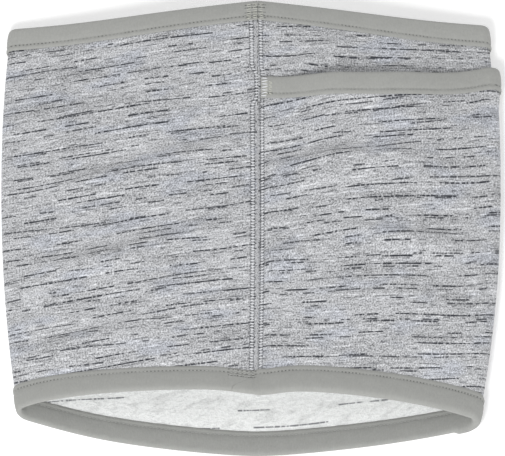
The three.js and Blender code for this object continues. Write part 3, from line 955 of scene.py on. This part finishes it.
def sew_round(name, stations, line, out, replaced, middle=None):
    """A row of stitches round the tube, along a line that gives the share down."""
    count = round((stations[1] - stations[0]) * HALF_GIRTH / STITCH_PITCH)
    around = np.linspace(stations[0], stations[1], count + 1)
    middles = 0 if middle is None else middle(around, line(around))
    rest = out(around) if callable(out) else out
    places = cloth.point(around, line(around), middles + rest)
    gap = (places[1:] - places[:-1]) * 0.1
    outwards = cloth.outward(around[:-1], line(around[:-1])) * (1 if np.mean(rest) > 0 else -1)
    sew(
        name, places[:-1] + gap, places[1:] - gap, outwards, *TAPE_STITCH,
        tape_thread_finish, "seam_thread", replaced,
    )


def top_line(around):
    return STITCH_INSET / length_at(around)


def bottom_line(around):
    return 1 - STITCH_INSET / length_at(around)


def pocket_line(around):
    return mouth_station(around) + STITCH_INSET / length_at(around)


ON_TAPE = TAPE_REST + TAPE / 2 - 0.12            # middle of a stitch sunk into the tape
# Width and height of each tack, and how many passes of thread it has.
TOP_TACK, TOP_TACK_PASSES = (9.4, 10.2), 7
POCKET_TACK, POCKET_TACK_PASSES = (4.6, 8), 7
JOIN_TACK, JOIN_TACK_PASSES = (14, 4.4), 3
FRONT_TACK_INSET, REAR_TACK_INSET = 5.6, 3.1     # from the seam, and from the pocket's rear edge
POCKET_OPEN = (0.09, 0.39)       # where the pocket's mouth stands open

beside_top = (TOP_TACK[0] / 2 + 0.6) / HALF_GIRTH
sew_round("top_outer_stitches", (beside_top, 2 - beside_top), top_line, ON_TAPE, ["top_stitch_outer"])
sew_round("top_inner_stitches", (BUTT, 2 - BUTT), top_line, -ON_TAPE, ["top_stitch_inner"])
beside_join = (JOIN_TACK[0] / 2 + 0.6) / HALF_GIRTH
sew_round(
    "bottom_outer_stitches", (JOIN_AT + beside_join, 2 + JOIN_AT - beside_join), bottom_line,
    lambda around: ON_TAPE + pocket_layer_at(around), ["bottom_stitch_outer"],
)
sew_round(
    "bottom_inner_stitches", (JOIN_AT + BUTT, 2 + JOIN_AT - BUTT), bottom_line, -ON_TAPE,
    ["bottom_stitch_inner"],
)
front_tack_at = FRONT_TACK_INSET / HALF_GIRTH
rear_tack_at = POCKET_END - REAR_TACK_INSET / HALF_GIRTH
beside_pocket = (POCKET_TACK[0] / 2 + 0.4) / HALF_GIRTH
sew_round(
    "pocket_outer_stitches", (front_tack_at + beside_pocket, rear_tack_at - beside_pocket), pocket_line,
    ON_TAPE, ["pocket_stitch_outer"], middle=pocket_rest,
)
sew_round(
    "pocket_inner_stitches", POCKET_OPEN, pocket_line,
    -ON_TAPE, ["pocket_stitch_inner"], middle=pocket_rest,
)


# ---- Front seam ----------------------------------------------------------------------------------------
SEAM_TOP = (TAPE_WIDTH - 1.0) / SIDE_LENGTH
SEAM_BOTTOM = 1 - (TAPE_WIDTH - 1.5) / SIDE_LENGTH
RUNG_SINK = 0.02                 # how far a rung's middle lies below the cloth's face
LADDER_NEAR, LADDER_FAR = 1.3, 3.5               # ends of a rung, from the seam's middle
COVER_PITCH, COVER_LENGTH, COVER_SWING = 1.5, 2.9, 0.6
LOOPER_PITCH, LOOPER_SWING = 1.9, 3.2


def surface_out(round_mm, down):
    """The height of whatever layer lies outermost near the seam."""
    around = round_mm / HALF_GIRTH
    body_top = KNIT / 2 + body_relief(around, down)
    mouth = mouth_station(around)
    on_pocket = (round_mm > POCKET_EDGE) & (down > mouth)
    pocket_top = pocket_rest(around, down) + KNIT / 2 + pocket_relief(around, down)
    depth = (down - mouth) * length_at(around)
    on_tape = on_pocket & (depth < TAPE_WIDTH)
    return np.where(on_pocket, pocket_top, body_top) + np.where(on_tape, TAPE + 0.5, 0)


def rungs(first, second, downs):
    """Start, end and outward direction of threads that cross between two columns of needle holes."""
    tilt = np.where(np.arange(len(downs)) % 2, 0.22, -0.22) / SIDE_LENGTH
    around = first(downs), second(downs)
    places = [
        cloth.point(x / HALF_GIRTH, downs + lean, surface_out(x, downs) - RUNG_SINK)
        for x, lean in zip(around, (-tilt, tilt))
    ]
    return places[0], places[1], cloth.outward(around[0] / HALF_GIRTH, downs)


def ladder(name, first, second, replaced):
    downs = np.arange(SEAM_TOP, SEAM_BOTTOM, RUNG_PITCH / SIDE_LENGTH)
    sew(name, *rungs(first, second, downs), *LADDER_RUNG, seam_finish, "seam_thread", replaced)


def left_column(reach):
    return lambda down: seam_wander(down) - reach + LEFT_JOG * at_pocket_tape(down)


def right_column(reach, spread=0.0):
    return lambda down: seam_wander(down) + reach + (RIGHT_JOG + spread) * at_pocket_tape(down)


ladder("seam_left_ladder", left_column(LADDER_FAR), left_column(LADDER_NEAR), ["seam_needle_thread_left"])
ladder(
    "seam_right_ladder", right_column(LADDER_NEAR), right_column(LADDER_FAR, TAPE_SPREAD),
    ["seam_needle_thread_right"],
)


def cover_thread():
    """Loops lying lengthwise over the butted edges, between the ladders."""
    downs = np.arange(SEAM_TOP, SEAM_BOTTOM, COVER_PITCH / SIDE_LENGTH)
    side = np.where(np.arange(len(downs)) % 2, COVER_SWING, -COVER_SWING)
    keep = at_pocket_tape(downs) < 0.3
    downs, side = downs[keep], side[keep]
    middle = seam_wander(downs) + 0.05
    out = KNIT / 2 + 0.06
    starts = cloth.point((middle + side) / HALF_GIRTH, downs, out)
    ends = cloth.point((middle - side * 0.2) / HALF_GIRTH, downs + COVER_LENGTH / SIDE_LENGTH, out)
    sew(
        "seam_cover_loops", starts, ends, cloth.outward(middle / HALF_GIRTH, downs), *COVER_LOOP,
        cover_finish, "seam_thread", ["seam_cover_thread"],
    )


def looper_thread():
    """Thread that zigzags across the seam on the inside."""
    pitch = LOOPER_PITCH / SIDE_LENGTH
    downs = np.arange(SEAM_TOP + 0.01, SEAM_BOTTOM - 0.01, pitch)
    swing = np.where(np.arange(len(downs)) % 2, LOOPER_SWING, -LOOPER_SWING)
    out = -KNIT / 2 - 0.12
    starts = cloth.point(-swing / HALF_GIRTH, downs, out)
    ends = cloth.point(swing / HALF_GIRTH, downs + pitch, out)
    sew(
        "seam_looper_loops", starts, ends, -cloth.outward(downs * 0, downs), *PLAIN_STITCH,
        seam_finish, "seam_thread", ["seam_looper_thread"],
    )


cover_thread()
looper_thread()


# ---- Sewn rear edge of the pocket ----------------------------------------------------------------------
REAR_INSET, REAR_PITCH = 3, 2.4


def sew_down(name, out, on_pocket, replaced):
    """A row of stitches along the pocket's rear edge, on the pocket or inside the body."""
    around = POCKET_END - REAR_INSET / HALF_GIRTH
    start = (POCKET_DEPTH_SIDE + TAPE_WIDTH + 1) / SIDE_LENGTH
    downs = np.arange(start, SEAM_BOTTOM - 0.01, REAR_PITCH / SIDE_LENGTH)
    rest = (pocket_middle(around, downs) if on_pocket else 0) + out
    places = cloth.point(around, downs, rest)
    gap = (places[1:] - places[:-1]) * 0.1
    outwards = cloth.outward(around + 0 * downs[:-1], downs[:-1]) * (1 if out > 0 else -1)
    sew(
        name, places[:-1] + gap, places[1:] - gap, outwards, *PLAIN_STITCH,
        seam_finish, "seam_thread", replaced,
    )


sew_down("pocket_rear_outer_stitches", KNIT / 2 + 0.1, True, ["pocket_rear_stitch_outer"])
sew_down("pocket_rear_inner_stitches", -KNIT / 2 - 0.1, False, ["pocket_rear_stitch_inner"])


# ---- Tacks ---------------------------------------------------------------------------------------------
def sew_tack(name, size, passes, around, down, out, material, replaced, columns=2):
    """Close diagonal threads in a few columns, row under row."""
    width, height = size
    starts, ends, outwards = [], [], []
    for row in range(passes):
        level = down + (row + 0.5 - passes / 2) * height / passes / SIDE_LENGTH
        for column in range(columns):
            left = -width / 2 + column * width / columns
            right = left + width / columns * 0.9
            lean = (0.3 if (row + column) % 2 else -0.3) / SIDE_LENGTH
            first, last = around + left / HALF_GIRTH, around + right / HALF_GIRTH
            starts.append(cloth.point(first, level - lean, out(first, level)))
            ends.append(cloth.point(last, level + lean, out(last, level)))
            outwards.append(cloth.outward(np.array(first), np.array(level)))
    sew(name, starts, ends, outwards, *TACK_STITCH, material, "seam_thread", replaced)


# How far out a tack lies on each kind of tape.
def on_edge_tape(around, down):
    return TAPE_REST + TAPE / 2 + 0.3


def on_bottom_tape(around, down):
    return TAPE_REST + TAPE / 2 + 0.15 + float(pocket_layer_at(around))


def on_pocket_tape(around, down):
    return float(pocket_rest(around, down)) + TAPE_REST + TAPE / 2 + 0.3


TACK_DEPTH = TAPE_WIDTH / 2 / SIDE_LENGTH        # a pocket tack's middle lies at the tape's middle
TOP_TACK_DEPTH = 6.1 / SIDE_LENGTH

sew_tack(
    "top_tack", TOP_TACK, TOP_TACK_PASSES, seam_wander(0) / HALF_GIRTH, TOP_TACK_DEPTH, on_edge_tape,
    olive_thread_finish, ["top_bartack"], columns=3,
)
sew_tack(
    "pocket_front_tack", POCKET_TACK, POCKET_TACK_PASSES, front_tack_at,
    float(mouth_station(front_tack_at)) + TACK_DEPTH, on_pocket_tape,
    olive_thread_finish, ["pocket_front_bartack"],
)
sew_tack(
    "pocket_rear_tack", POCKET_TACK, POCKET_TACK_PASSES, rear_tack_at,
    float(mouth_station(rear_tack_at)) + TACK_DEPTH, on_pocket_tape,
    olive_thread_finish, ["pocket_rear_bartack"],
)
sew_tack(
    "bottom_join_tack", JOIN_TACK, JOIN_TACK_PASSES, JOIN_AT, float(bottom_line(JOIN_AT)), on_bottom_tape,
    tape_thread_finish, ["bottom_join_stitches"], columns=6,
)

bpy.data.objects.remove(stitch_pattern)
